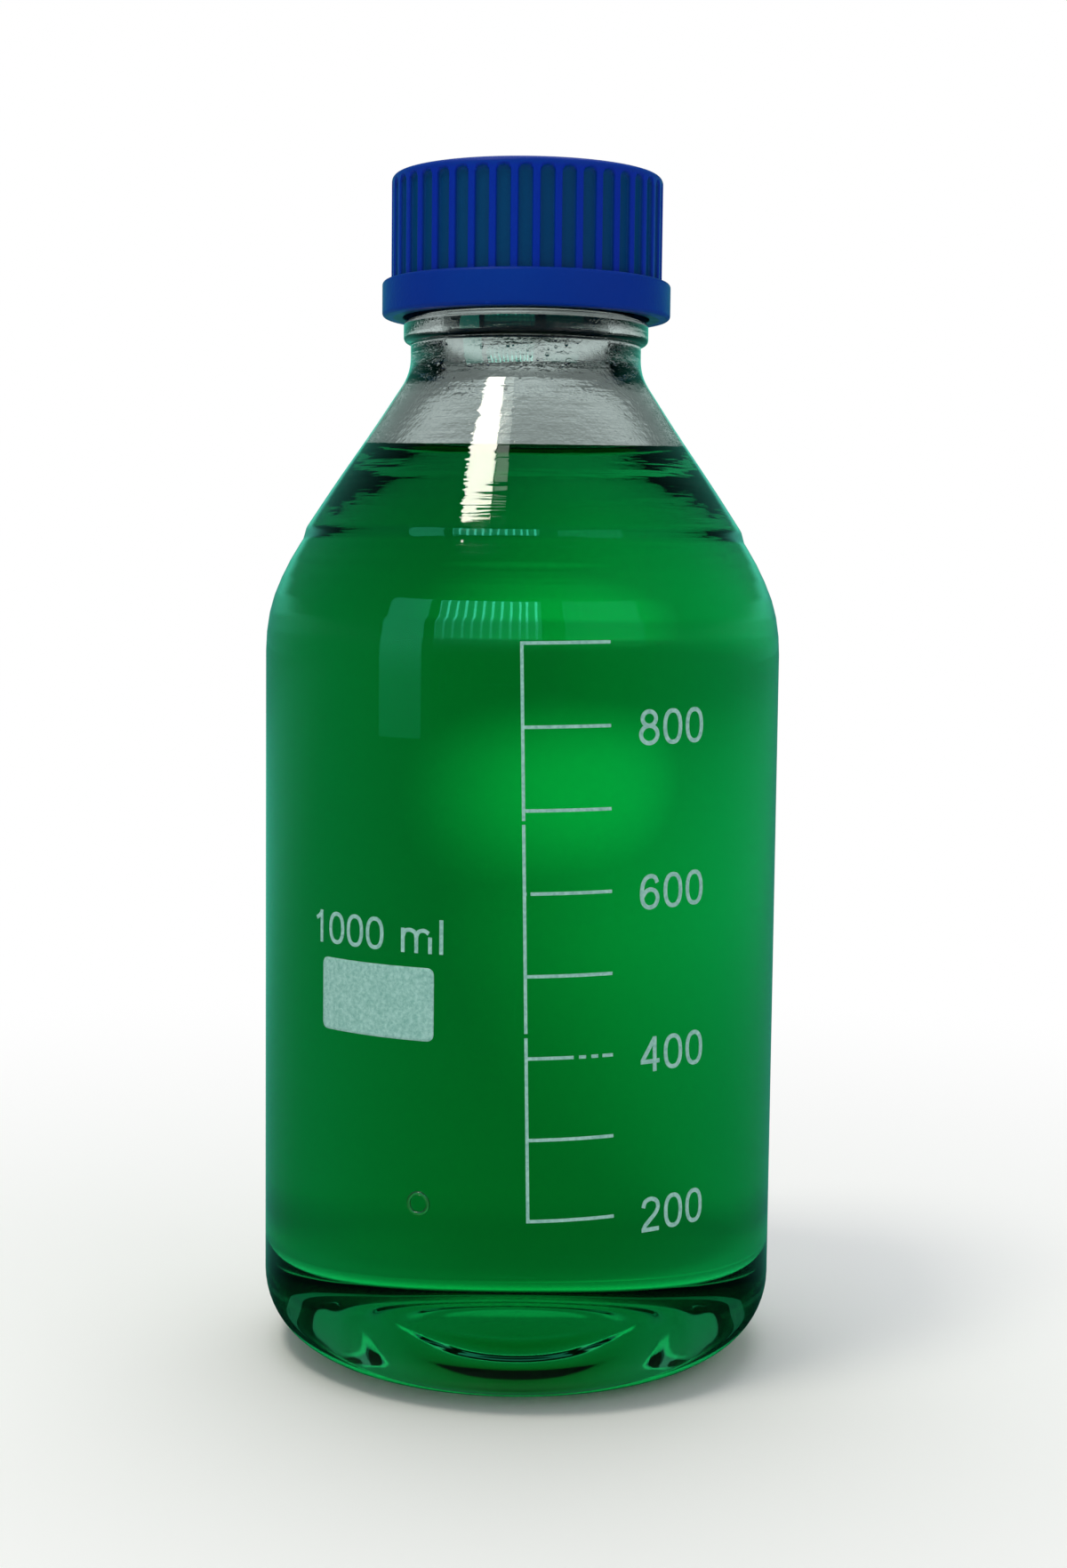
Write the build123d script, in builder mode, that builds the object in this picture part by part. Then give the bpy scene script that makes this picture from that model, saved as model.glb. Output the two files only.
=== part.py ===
from build123d import *
import os
from math import cos, pi, radians, sin, tan

# A one-litre round media bottle: a blown borosilicate vessel with a 45 mm round-thread
# neck, a snap-on pouring ring, a soft sealing liner, a ribbed screw cap, the liquid
# medium inside and the white enamel graduation on the glass.
# Millimetres and degrees. +Z runs up the bottle's axis from the surface it stands on,
# and -Y is the front, where the graduation is.

# The blown vessel
body_diameter = 101.0
wall = 4.3
base_thickness = 4.5
heel_radius = 15.0
punt_diameter = 66.0
punt_depth = 3.5
shoulder_corner_height = 149.5  # where the straight side and the cone would meet
shoulder_radius = 38.0
shoulder_angle = 33.2  # of the cone, from the axis
neck_diameter = 45.0
neck_wall = 6.0
neck_blend_radius = 10.0
bore_blend_radius = 14.0
neck_length = 5.7  # from the corner under the cone to the bead

# The finish: the bead, threaded core and rim at the top of the neck
bead_reach = 1.4  # how far the bead stands out from the neck
bead_height = 4.6
bead_round = 1.2
core_inset = 1.4  # how far the threaded core stands back from the neck
core_height = 16.4
rim_inset = 1.2  # how far the rim stands back from the core
rim_height = 6.0
rim_round = 1.2
groove_drop = 3.9  # from the top of the rim to the middle of the snap groove
groove_height = 1.6
groove_depth = 0.45

# The round thread, with one ridge on the neck and one in the cap
thread_pitch = 4.0
thread_depth = 1.2
neck_ridge_root = 2.2
neck_ridge_crest = 1.0
cap_ridge_root = 2.0
cap_ridge_crest = 0.8
neck_thread_turns = 1.5
cap_thread_turns = 2.0
thread_drop = 3.4  # from the step under the rim to the end of the ridge's centre line
thread_radial_gap = 0.3
thread_flank_gap = 0.2
ridge_bury = 0.4  # how far a ridge's foot runs into its wall

# The pouring ring
ring_web = 1.2
ring_skirt_wall = 0.75
ring_skirt_length = 5.4
ring_fit = 0.05
ring_lip_reach = 0.3
ring_lip_height = 1.0
ring_mouth_step = 0.6  # how far the ring's opening stands back from the bore
snap_reach = 0.3
snap_height = 0.9

# The liner and the screw cap
liner_thickness = 1.6
liner_gap = 0.3
retainer_reach = 0.6
retainer_height = 0.8
retainer_gap = 0.1
cap_plate = 2.4
cap_wall = 3.75
cap_edge_round = 1.3
cap_gap = 0.4  # between the glass bead and the lower edge of the cap
flange_reach = 1.75  # how far the flange stands out from the ribbed wall
flange_height = 6.9
flange_round = 0.8
bead_gap = 0.1  # round the glass bead, inside the foot of the cap
skirt_bore_depth = 3.6
rib_count = 40
flute_width = 2.7
flute_depth = 0.8
flute_top_land = 1.5  # plain band left above the flutes

# The filling and the enamel
headspace = 48.6  # from the rim down to the liquid
fill_gap = 0.05
enamel_thickness = 0.15
enamel_line = 0.6
mark_volume = 100.0  # millilitres from one mark to the next
mark_count = 8
first_mark_volume = 200.0
heel_allowance = 2.9  # height lost to the rounded heel and the domed floor
mark_length = 16.0
scale_angle = 12.0  # of the scale's middle, from the front
scale_lean = 1.2  # the print isn't quite upright
patch_width = 24.6
patch_height = 13.4
patch_round = 1.3
patch_angle = -31.0
patch_middle_height = 76.0

# Radii and heights worked out from them
body_radius = body_diameter / 2
bead_radius = neck_diameter / 2 + bead_reach
core_radius = neck_diameter / 2 - core_inset
rim_radius = core_radius - rim_inset
bore_radius = neck_diameter / 2 - neck_wall
cone_rise = (body_radius - neck_diameter / 2) / tan(radians(shoulder_angle))
bead_bottom = shoulder_corner_height + cone_rise + neck_length
bead_top = bead_bottom + bead_height
rim_step = bead_top + core_height
glass_top = rim_step + rim_height
groove_middle = glass_top - groove_drop
ring_top = glass_top + ring_web
liner_top = ring_top + liner_thickness
cap_top = liner_top + cap_plate
cap_bottom = bead_top + cap_gap
flange_top = cap_bottom + flange_height
fill_level = glass_top - headspace
thread_end = rim_step - thread_drop
thread_start = thread_end - neck_thread_turns * thread_pitch
crest_radius = core_radius + thread_depth
cap_bore_radius = crest_radius + thread_radial_gap
cap_radius = cap_bore_radius + cap_wall
flange_radius = cap_radius + flange_reach
skirt_bore_radius = bead_radius + bead_gap
flank_slope = (neck_ridge_root - neck_ridge_crest) / 2 / thread_depth
flank_contact = neck_ridge_root / 2 - flank_slope * thread_radial_gap + cap_ridge_crest / 2
cap_thread_start = thread_start - flank_contact - thread_flank_gap
punt_sphere_radius = ((punt_diameter / 2) ** 2 + punt_depth**2) / (2 * punt_depth)
mark_spacing = mark_volume * 1000 / (pi * (body_radius - wall) ** 2)
first_mark_height = (
    base_thickness + heel_allowance + first_mark_volume / mark_volume * mark_spacing
)


def draw_vessel(inset, floor, neck_radius, top, heel, shoulder, blend):
    """Half of the vessel's section, set in from its outer skin, as an upright sketch."""
    radius = body_radius - inset
    corner = shoulder_corner_height - inset * tan(radians(shoulder_angle) / 2)
    cone_top = corner + (radius - neck_radius) / tan(radians(shoulder_angle))
    with BuildSketch(Plane.XZ) as section:
        with BuildLine():
            side = FilletPolyline(
                (0, floor),
                (radius, floor),
                (radius, corner),
                (neck_radius, cone_top),
                (neck_radius, top),
                radius=(heel, shoulder, blend),
            )
            Polyline(side @ 1, (0, top), (0, floor))
        make_face()
    return section.sketch


def make_cavity(clearance):
    """The space inside the glass, drawn in by a clearance, with its domed floor."""
    inset = wall + clearance
    section = draw_vessel(
        inset,
        base_thickness + clearance,
        bore_radius - clearance,
        glass_top,
        heel_radius - inset,
        shoulder_radius - inset,
        bore_blend_radius + clearance,
    )
    with BuildPart() as cavity:
        revolve(section, axis=Axis.Z)
        with Locations((0, 0, punt_depth - punt_sphere_radius)):
            Sphere(punt_sphere_radius + base_thickness + clearance, mode=Mode.SUBTRACT)
    return cavity.part


def make_ridge(root_radius, tip_radius, root_width, tip_width, start, turns):
    """A helical thread ridge whose flanks run on into the wall that carries it."""
    outward = 1 if tip_radius > root_radius else -1
    foot_radius = root_radius - outward * ridge_bury
    foot_width = root_width + (root_width - tip_width) * ridge_bury / thread_depth
    with BuildPart() as ridge:
        with BuildLine():
            Helix(thread_pitch, turns * thread_pitch, root_radius, center=(0, 0, start))
        with BuildSketch(Plane.XZ):
            with BuildLine():
                Polyline(
                    (foot_radius, start - foot_width / 2),
                    (tip_radius, start - tip_width / 2),
                    (tip_radius, start + tip_width / 2),
                    (foot_radius, start + foot_width / 2),
                    close=True,
                )
            make_face()
        sweep(is_frenet=True)
    return ridge.part


def front_plane(angle):
    """An upright drawing plane through the axis that faces a direction round the bottle."""
    return Plane(
        origin=(0, 0, 0),
        x_dir=(cos(radians(angle)), sin(radians(angle)), 0),
        z_dir=(sin(radians(angle)), -cos(radians(angle)), 0),
    )


# Bottle: one blown and moulded piece of glass
vessel_cavity = make_cavity(0)
neck_ridge = make_ridge(
    core_radius,
    crest_radius,
    neck_ridge_root,
    neck_ridge_crest,
    thread_start,
    neck_thread_turns,
)
outer_skin = draw_vessel(
    0,
    0,
    neck_diameter / 2,
    bead_top,
    heel_radius,
    shoulder_radius,
    neck_blend_radius,
)
with BuildPart() as bottle:
    revolve(outer_skin, axis=Axis.Z)
    with BuildSketch(Plane.XZ):
        with Locations((0, bead_bottom)):
            Rectangle(bead_radius, bead_height, align=(Align.MIN, Align.MIN))
    revolve(axis=Axis.Z)
    fillet(
        bottle.edges()
        .filter_by(GeomType.CIRCLE)
        .filter_by(lambda edge: abs(edge.radius - bead_radius) < 0.01),
        bead_round,
    )
    with BuildSketch(Plane.XY.offset(bead_top)):
        Circle(core_radius)
    extrude(amount=core_height)
    with BuildSketch(Plane.XY.offset(rim_step)):
        Circle(rim_radius)
    extrude(amount=rim_height)
    with BuildSketch(Plane.XY.offset(groove_middle - groove_height / 2)):
        Circle(rim_radius)
        Circle(rim_radius - groove_depth, mode=Mode.SUBTRACT)
    extrude(amount=groove_height, mode=Mode.SUBTRACT)
    add(neck_ridge)
    add(vessel_cavity, mode=Mode.SUBTRACT)
    with Locations((0, 0, punt_depth - punt_sphere_radius)):
        Sphere(punt_sphere_radius, mode=Mode.SUBTRACT)
    fillet(bottle.faces().sort_by(Axis.Z)[-1].edges(), rim_round)
bottle.part.label = "bottle"

# Medium: the green liquid, up to its level in the cone
with BuildPart() as medium:
    add(make_cavity(fill_gap))
    split(bisect_by=Plane.XY.offset(fill_level), keep=Keep.BOTTOM)
medium.part.label = "medium"

# Pouring ring: snaps over the rim and carries the sharp, drip-free lip
skirt_inside = rim_radius + ring_fit
skirt_outside = skirt_inside + ring_skirt_wall
ring_mouth = bore_radius + ring_mouth_step
skirt_bottom = glass_top - ring_skirt_length
with BuildPart() as pouring_ring:
    with BuildSketch(Plane.XZ):
        with BuildLine():
            Polyline(
                (ring_mouth, glass_top),
                (ring_mouth, ring_top),
                (skirt_outside + ring_lip_reach, ring_top),
                (skirt_outside, ring_top - ring_lip_height),
                (skirt_outside, skirt_bottom),
                (skirt_inside, skirt_bottom),
                (skirt_inside, groove_middle - snap_height / 2),
                (skirt_inside - snap_reach, groove_middle),
                (skirt_inside, groove_middle + snap_height / 2),
                (skirt_inside, glass_top),
                close=True,
            )
        make_face()
    revolve(axis=Axis.Z)
pouring_ring.part.label = "pouring_ring"

# Liner: the soft disc that the cap presses on the ring
with BuildPart() as sealing_liner:
    with BuildSketch(Plane.XY.offset(ring_top)):
        Circle(cap_bore_radius - liner_gap)
    extrude(amount=liner_thickness)
sealing_liner.part.label = "sealing_liner"

# Screw cap: one moulding with its flutes, flange, thread and liner retainer
retainer_top = ring_top - retainer_gap
cap_ridge = make_ridge(
    cap_bore_radius,
    cap_bore_radius - thread_depth,
    cap_ridge_root,
    cap_ridge_crest,
    cap_thread_start,
    cap_thread_turns,
)
flute_round = flute_width / 2
flute_straight = cap_top - flute_top_land - flute_round - flange_top
with BuildPart() as flute:
    with BuildSketch(Plane.XZ.offset(cap_radius - flute_depth)):
        with Locations((0, flange_top)):
            Rectangle(flute_width, flute_straight, align=(Align.CENTER, Align.MIN))
        with Locations((0, flange_top + flute_straight)):
            Circle(flute_round)
    extrude(amount=2 * flute_depth)
with BuildPart() as screw_cap:
    with BuildSketch(Plane.XY.offset(cap_bottom)):
        Circle(cap_radius)
    extrude(amount=cap_top - cap_bottom)
    fillet(screw_cap.edges().group_by(Axis.Z)[-1], cap_edge_round)
    with BuildSketch(Plane.XY.offset(cap_bottom)):
        Circle(flange_radius)
    extrude(amount=flange_height)
    fillet(
        screw_cap.edges()
        .filter_by(GeomType.CIRCLE)
        .filter_by(lambda edge: abs(edge.radius - flange_radius) < 0.01),
        flange_round,
    )
    with PolarLocations(0, rib_count):
        add(flute.part, mode=Mode.SUBTRACT)
    with BuildSketch(Plane.XY.offset(cap_bottom)):
        Circle(cap_bore_radius)
    extrude(amount=liner_top - cap_bottom, mode=Mode.SUBTRACT)
    with BuildSketch(Plane.XY.offset(cap_bottom)):
        Circle(skirt_bore_radius)
    extrude(amount=skirt_bore_depth, mode=Mode.SUBTRACT)
    with BuildSketch(Plane.XY.offset(retainer_top - retainer_height)):
        Circle(cap_bore_radius + ridge_bury)
        Circle(cap_bore_radius - retainer_reach, mode=Mode.SUBTRACT)
    extrude(amount=retainer_height)
    add(cap_ridge)
screw_cap.part.label = "screw_cap"


def wrap_on_glass(print_film):
    """Keeps the stretch of a flat extrusion that lies in the enamel on the body."""
    with BuildPart() as enamel:
        with BuildSketch():
            Circle(body_radius + enamel_thickness)
            Circle(body_radius, mode=Mode.SUBTRACT)
        extrude(amount=shoulder_corner_height)
        add(print_film, mode=Mode.INTERSECT)
    return enamel.part


# Graduation scale: an upright line with a mark for every step of volume
scale_height = (mark_count - 1) * mark_spacing
with BuildPart() as scale_film:
    with BuildSketch(front_plane(scale_angle)):
        with Locations(Location((0, first_mark_height + scale_height / 2, 0), scale_lean)):
            with Locations((-mark_length / 2, 0)):
                Rectangle(enamel_line, scale_height + enamel_line)
            with GridLocations(0, mark_spacing, 1, mark_count):
                Rectangle(mark_length, enamel_line)
    extrude(amount=body_diameter)
graduation_scale = wrap_on_glass(scale_film.part)
graduation_scale.label = "graduation_scale"

# Writing patch: the matt field for pencil notes
with BuildPart() as patch_film:
    with BuildSketch(front_plane(patch_angle)):
        with Locations((0, patch_middle_height)):
            RectangleRounded(patch_width, patch_height, patch_round)
    extrude(amount=body_diameter)
writing_patch = wrap_on_glass(patch_film.part)
writing_patch.label = "writing_patch"

export_step(bottle.part, "parts/bottle.step")
export_step(medium.part, "parts/medium.step")
export_step(pouring_ring.part, "parts/pouring_ring.step")
export_step(sealing_liner.part, "parts/sealing_liner.step")
export_step(screw_cap.part, "parts/screw_cap.step")
export_step(graduation_scale, "parts/graduation_scale.step")
export_step(writing_patch, "parts/writing_patch.step")
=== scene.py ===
# %% [markdown]
# # A round media bottle
# This lesson dresses a one-litre laboratory bottle: a clear blown-glass vessel, a green
# liquid medium inside it, a ribbed blue screw cap and a white enamel graduation. The
# sizes and the moving bodies are settled before any looks, so the first step is to open
# that frame and keep its box. Nothing that is added later may stand outside the box.

# %% Open the frame
import random
from math import acos, acosh, cos, exp, floor, hypot, pi, radians, sin, sqrt, tan, tau

import bmesh
import bpy
from mathutils import Matrix, Vector


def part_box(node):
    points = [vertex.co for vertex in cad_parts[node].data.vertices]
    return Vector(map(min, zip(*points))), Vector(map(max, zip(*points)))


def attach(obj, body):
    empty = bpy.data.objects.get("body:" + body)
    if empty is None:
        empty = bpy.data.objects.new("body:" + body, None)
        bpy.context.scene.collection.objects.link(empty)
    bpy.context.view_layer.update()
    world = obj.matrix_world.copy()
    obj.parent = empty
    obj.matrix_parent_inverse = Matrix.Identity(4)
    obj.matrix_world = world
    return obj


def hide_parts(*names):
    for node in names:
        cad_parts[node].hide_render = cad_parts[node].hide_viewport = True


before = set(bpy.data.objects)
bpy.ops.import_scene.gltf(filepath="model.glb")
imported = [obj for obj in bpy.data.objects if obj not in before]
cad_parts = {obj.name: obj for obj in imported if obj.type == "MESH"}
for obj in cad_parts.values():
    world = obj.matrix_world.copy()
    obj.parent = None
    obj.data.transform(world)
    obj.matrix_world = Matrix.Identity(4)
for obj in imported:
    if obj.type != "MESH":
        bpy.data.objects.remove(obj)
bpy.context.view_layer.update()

# %% [markdown]
# ## Working in millimetres
# A glassmaker's drawing of this bottle is in millimetres, and Blender's scene is in
# metres. Writing the drawing's numbers as they are and turning them into metres in one
# place keeps the code readable. The heights that pieces share are read from the frame,
# so a piece can't drift away from the solid it stands for.

# %% Sizes of the bottle
MM = 0.001


def height_of(node, corner):
    """The height in millimetres of a node's lowest (0) or highest (1) corner."""
    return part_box(node)[corner].z / MM


body_radius = 50.5
wall = 4.3
cone_angle = radians(33.2)
glass_top = height_of("bottle", 1)
cap_bottom = height_of("screw_cap", 0)
cap_top = height_of("screw_cap", 1)
ring_top = height_of("pouring_ring", 1)
liner_top = height_of("sealing_liner", 1)
fill_level = height_of("medium", 1)
bead_top = cap_bottom - 0.4
print("glass", round(glass_top, 2), "cap", round(cap_bottom, 2), round(cap_top, 2))
print("liquid level", round(fill_level, 2))

# %% [markdown]
# ## Outlines with rounded corners
# Nearly every piece of this bottle was blown, moulded or turned, so half of its section
# tells its whole form. A section is easiest to write as corners with a radius at each
# one, as on the drawing. The other way is to trace a curve by eye, but then the bead,
# the cone and the heel would no longer keep their true radii.

# %% Helper: corners to a smooth outline


def rounded_outline(corners, degrees_per_step=6.0):
    """Turns (radius, height, rounding) corners into points, with an arc at each corner."""
    points = [(corners[0][0], corners[0][1])]
    for before, corner, after in zip(corners, corners[1:], corners[2:]):
        here = Vector(corner[:2])
        back = (Vector(before[:2]) - here).normalized()
        ahead = (Vector(after[:2]) - here).normalized()
        opening = acos(max(-1.0, min(1.0, back.dot(ahead))))
        if corner[2] <= 0 or opening > pi - 1e-4:
            points.append(tuple(here))
            continue
        reach = corner[2] / tan(opening / 2)
        centre = here + (back + ahead).normalized() * (corner[2] / sin(opening / 2))
        first = here + back * reach - centre
        swing = first.angle_signed(here + ahead * reach - centre)
        steps = max(2, int(abs(swing) / radians(degrees_per_step)) + 1)
        for step in range(steps + 1):
            spoke = first.copy()
            spoke.rotate(Matrix.Rotation(-swing * step / steps, 2))
            points.append(tuple(centre + spoke))
    points.append((corners[-1][0], corners[-1][1]))
    return points


def subdivide_outline(points, longest):
    """Adds points so that no stretch of an outline is longer than this."""
    finer = [points[0]]
    for start, end in zip(points, points[1:]):
        steps = max(1, int(hypot(end[0] - start[0], end[1] - start[1]) / longest + 0.999))
        for step in range(1, steps + 1):
            share = step / steps
            finer.append(
                (
                    start[0] + (end[0] - start[0]) * share,
                    start[1] + (end[1] - start[1]) * share,
                )
            )
    return finer


# %% [markdown]
# ## Turning an outline on the lathe
# A Screw modifier would turn an outline too, but it can't raise a thread or cut flutes
# on the way round. This helper builds the rows of vertices itself and lets a ripple
# function move each one in or out, so that a thread or forty flutes are real surface.

# %% Helper: the lathe


def new_object(name, mesh, *materials):
    """Puts a mesh in the scene with its materials, shaded smooth."""
    for material in materials:
        mesh.materials.append(material)
    mesh.polygons.foreach_set("use_smooth", [True] * len(mesh.polygons))
    mesh.update()
    thing = bpy.data.objects.new(name, mesh)
    bpy.context.scene.collection.objects.link(thing)
    return thing


def lathe(name, outline, turns, ripple=None):
    """A closed surface of revolution through (radius, height) points, bottom axis first."""
    verts, faces, rows = [], [], []
    for radius, height in outline:
        if radius < 1e-6:
            rows.append([len(verts)])
            verts.append((0.0, 0.0, height * MM))
            continue
        rows.append(list(range(len(verts), len(verts) + len(turns))))
        for turn in turns:
            out = radius + (ripple(turn, radius, height) if ripple else 0.0)
            verts.append((out * cos(turn) * MM, out * sin(turn) * MM, height * MM))
    for low, high in zip(rows, rows[1:]):
        for i in range(len(turns)):
            j = (i + 1) % len(turns)
            if len(low) == 1:
                faces.append((low[0], high[j], high[i]))
            elif len(high) == 1:
                faces.append((low[i], low[j], high[0]))
            else:
                faces.append((low[i], low[j], high[j], high[i]))
    mesh = bpy.data.meshes.new(name)
    mesh.from_pydata(verts, [], faces)
    return mesh


def even_turns(count):
    """Angles of equal steps round the axis."""
    return [tau * step / count for step in range(count)]


# %% [markdown]
# ## Material helper
# Glass, liquid, plastic and enamel all start from the same shader, so one helper sets
# its plain numbers. Numbers that are the same all over are set on the shader's own
# sockets, and only what varies over a surface is left to textures.

# %% Helper: a material with plain numbers


def shader_material(name, colour, roughness, **sockets):
    """A Principled material, returned with its tree and shader."""
    material = bpy.data.materials.new(name)
    material.use_nodes = True
    tree = material.node_tree
    shader = tree.nodes["Principled BSDF"]
    shader.inputs["Base Color"].default_value = (*colour, 1.0)
    shader.inputs["Roughness"].default_value = roughness
    for socket, value in sockets.items():
        shader.inputs[socket.replace("_", " ")].default_value = value
    return material, tree, shader


def add_node(tree, kind, **settings):
    """A node of a kind, with its properties and input values set by name."""
    node = tree.nodes.new(kind)
    for key, value in settings.items():
        if hasattr(node, key):
            setattr(node, key, value)
        else:
            node.inputs[key.replace("_", " ")].default_value = value
    return node


# %% [markdown]
# ## The glass
# The vessel is borosilicate glass blown into a mould. Its outside is smooth, its inside
# a little wavy, and it bends light with an index of 1.47. Where the liquid wets the
# wall, light only meets the small step from glass to water, so those faces get an index
# of 1.47 / 1.333. Without that, a thin film of air would shine between glass and liquid,
# and the green wouldn't reach the edge of the bottle as it does on a real one. Over the
# liquid the inside is misted, so its faces carry a fine bump on top of the waves. Over the
# shoulder the outside's colour is darkened as painted shade, and it has fine level ripples
# where the cone was drawn out. Both could be second materials, but a height ramp in one
# material leaves no seam.

# %% Glass materials
glass_index = 1.47
water_index = 1.333
glass_colour = (0.93, 0.955, 0.945)
# Between these heights the outside's colour is darkened as painted shade.
painted_shade_heights = (0.14, 0.165)
ripple_heights = (0.156, 0.166)


def paint_shade_and_ripple_cone(tree, place, shader, under, painted_shade):
    """Darkens the glass colour over the shoulder as painted shade and lays fine level ripples over
    a bump.
    """
    height = add_node(tree, "ShaderNodeSeparateXYZ")
    # Painted shade: the glass colour darkens with height over the shoulder.
    shade = add_node(
        tree,
        "ShaderNodeMapRange",
        From_Min=painted_shade_heights[0],
        From_Max=painted_shade_heights[1],
        To_Min=1.0,
        To_Max=1 - painted_shade,
    )
    tint = add_node(tree, "ShaderNodeVectorMath", operation="SCALE")
    tint.inputs[0].default_value = glass_colour
    flattened = add_node(tree, "ShaderNodeVectorMath", operation="MULTIPLY")
    flattened.inputs[1].default_value = (60.0, 60.0, 900.0)
    ripples = add_node(tree, "ShaderNodeTexNoise", Scale=1.0, Detail=2.0)
    in_cone = add_node(
        tree, "ShaderNodeMapRange", From_Min=ripple_heights[0], From_Max=ripple_heights[1]
    )
    faded = add_node(tree, "ShaderNodeMath", operation="MULTIPLY")
    bump = add_node(tree, "ShaderNodeBump", Strength=0.2, Distance=0.0003)
    for source, target in (
        (place, height.inputs["Vector"]),
        (height.outputs["Z"], shade.inputs["Value"]),
        (shade.outputs["Result"], tint.inputs["Scale"]),
        (tint.outputs["Vector"], shader.inputs["Base Color"]),
        (place, flattened.inputs[0]),
        (flattened.outputs["Vector"], ripples.inputs["Vector"]),
        (height.outputs["Z"], in_cone.inputs["Value"]),
        (in_cone.outputs["Result"], faded.inputs[0]),
        (ripples.outputs["Fac"], faded.inputs[1]),
        (faded.outputs["Value"], bump.inputs["Height"]),
        (under.outputs["Normal"], bump.inputs["Normal"]),
        (bump.outputs["Normal"], shader.inputs["Normal"]),
    ):
        tree.links.new(source, target)


def glass_material(name, index, mist=0.0, painted_shade=0.0):
    """Clear glass, a little wavy from the blowing, misted or darkened by painted shade where that
    is asked for.
    """
    material, tree, shader = shader_material(
        name, glass_colour, 0.0, IOR=index, Transmission_Weight=1.0
    )
    place = add_node(tree, "ShaderNodeTexCoord")
    waves = add_node(tree, "ShaderNodeTexNoise", Scale=28.0, Detail=1.0)
    bump = add_node(tree, "ShaderNodeBump", Strength=0.05, Distance=0.001)
    tree.links.new(place.outputs["Object"], waves.inputs["Vector"])
    tree.links.new(waves.outputs["Fac"], bump.inputs["Height"])
    drops = add_node(tree, "ShaderNodeTexNoise", Scale=520.0, Detail=3.0, Roughness=0.7)
    mist_bump = add_node(tree, "ShaderNodeBump", Strength=mist, Distance=0.0004)
    tree.links.new(place.outputs["Object"], drops.inputs["Vector"])
    tree.links.new(drops.outputs["Fac"], mist_bump.inputs["Height"])
    tree.links.new(bump.outputs["Normal"], mist_bump.inputs["Normal"])
    tree.links.new(mist_bump.outputs["Normal"], shader.inputs["Normal"])
    if painted_shade:
        paint_shade_and_ripple_cone(tree, place.outputs["Object"], shader, mist_bump, painted_shade)
    return material


# The outside's colour darkens by 0.42 over the shoulder as painted shade.
borosilicate = glass_material("borosilicate_glass", glass_index, painted_shade=0.42)
wetted_glass = glass_material("wetted_glass", glass_index / water_index)
misted_glass = glass_material("misted_glass", glass_index, mist=0.2)
print("glass index", glass_index, "where wetted", round(glass_index / water_index, 3))

# %% [markdown]
# ## The round thread
# The thread that carries the cap is one ridge that climbs 4 mm a turn. On a lathed
# surface it is a ripple: at each angle the ridge sits at its own height, and the wall
# swells there. It fades out at both ends, as a moulded thread does.

# %% Helper: thread ripple
thread_pitch = 4.0
thread_depth = 1.2
core_radius = 21.1
thread_run_out = 0.06  # of a turn, at each end
neck_thread = (glass_top - 15.4, 1.5, 2.2, 1.0)  # start, turns, root, crest
cap_thread = (glass_top - 16.95, 2.0, 2.0, 0.8)


def thread_swell(turn, height, thread):
    """How far a ridge stands out at an angle and a height."""
    start, turns, root, crest = thread
    swell = 0.0
    for lap in range(floor(turns) + 1):
        along = turn / tau + lap
        if along > turns:
            continue
        away = abs(height - (start + along * thread_pitch))
        flank = (root / 2 - away) / (root / 2 - crest / 2)
        ends = min(along, turns - along) / thread_run_out
        lift = max(0.0, min(1.0, flank)) * max(0.0, min(1.0, ends))
        swell = max(swell, thread_depth * lift * lift * (3 - 2 * lift))
    return swell


# %% [markdown]
# ## The vessel
# The outline runs from the middle of the domed base, round the heel and up the outside,
# over the rim, and down the inside to the middle of the floor. One closed skin with real
# thickness is what makes glass look like glass: the heel gathers light, and the thick
# base bends it. An open shell with a Solidify modifier would lose the heavier base. The
# heel is rounder inside than outside, as glass gathers in the corner when a bottle is
# blown, and the mould leaves shallow rings in the base.

# %% Vessel outline
shoulder_corner = 149.5
neck_radius = 22.5
bore_radius = 16.5
punt_radius = 33.0
punt_depth = 3.5
base_thickness = 4.5
rim_radius = 19.9
heel_radius = 15.0
heel_gather = 6.0  # how much rounder the heel is inside
shoulder_radius = 38.0
neck_blend = 10.0
bore_blend = 14.0
bead_reach, bead_height, bead_round = 1.4, 4.6, 1.2
groove_half, groove_depth, groove_round = 0.8, 0.45, 0.15
rim_round = 1.2
base_ring_middle, base_ring_fade = 21.0, 11.0
base_ring_height, base_ring_spacing = 0.22, 6.0


def base_ring(radius):
    """Shallow rings pressed round the middle of the base, fading out at both ends."""
    fade = max(0.0, 1 - abs(radius - base_ring_middle) / base_ring_fade)
    return base_ring_height * sin(radius * tau / base_ring_spacing) * fade


def domed(sphere_top, sphere_radius, out_to, count):
    """Points over a shallow ringed dome from the axis outwards."""
    points = []
    for step in range(count + 1):
        radius = out_to * step / count
        drop = sphere_radius - sqrt(sphere_radius**2 - radius**2)
        points.append((radius, sphere_top - drop + base_ring(radius)))
    return points


def inner_corners(clearance, top):
    """The inside's corners from the floor to a height, drawn in by a clearance."""
    inset = wall + clearance
    radius = body_radius - inset
    corner = shoulder_corner - inset * tan(cone_angle / 2)
    bore = bore_radius - clearance
    cone_end = corner + (radius - bore) / tan(cone_angle)
    return [
        (radius, base_thickness + clearance, heel_radius + heel_gather - inset),
        (radius, corner, shoulder_radius - inset),
        (bore, cone_end, bore_blend + clearance),
        (bore, top, 0.0),
    ]


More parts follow.
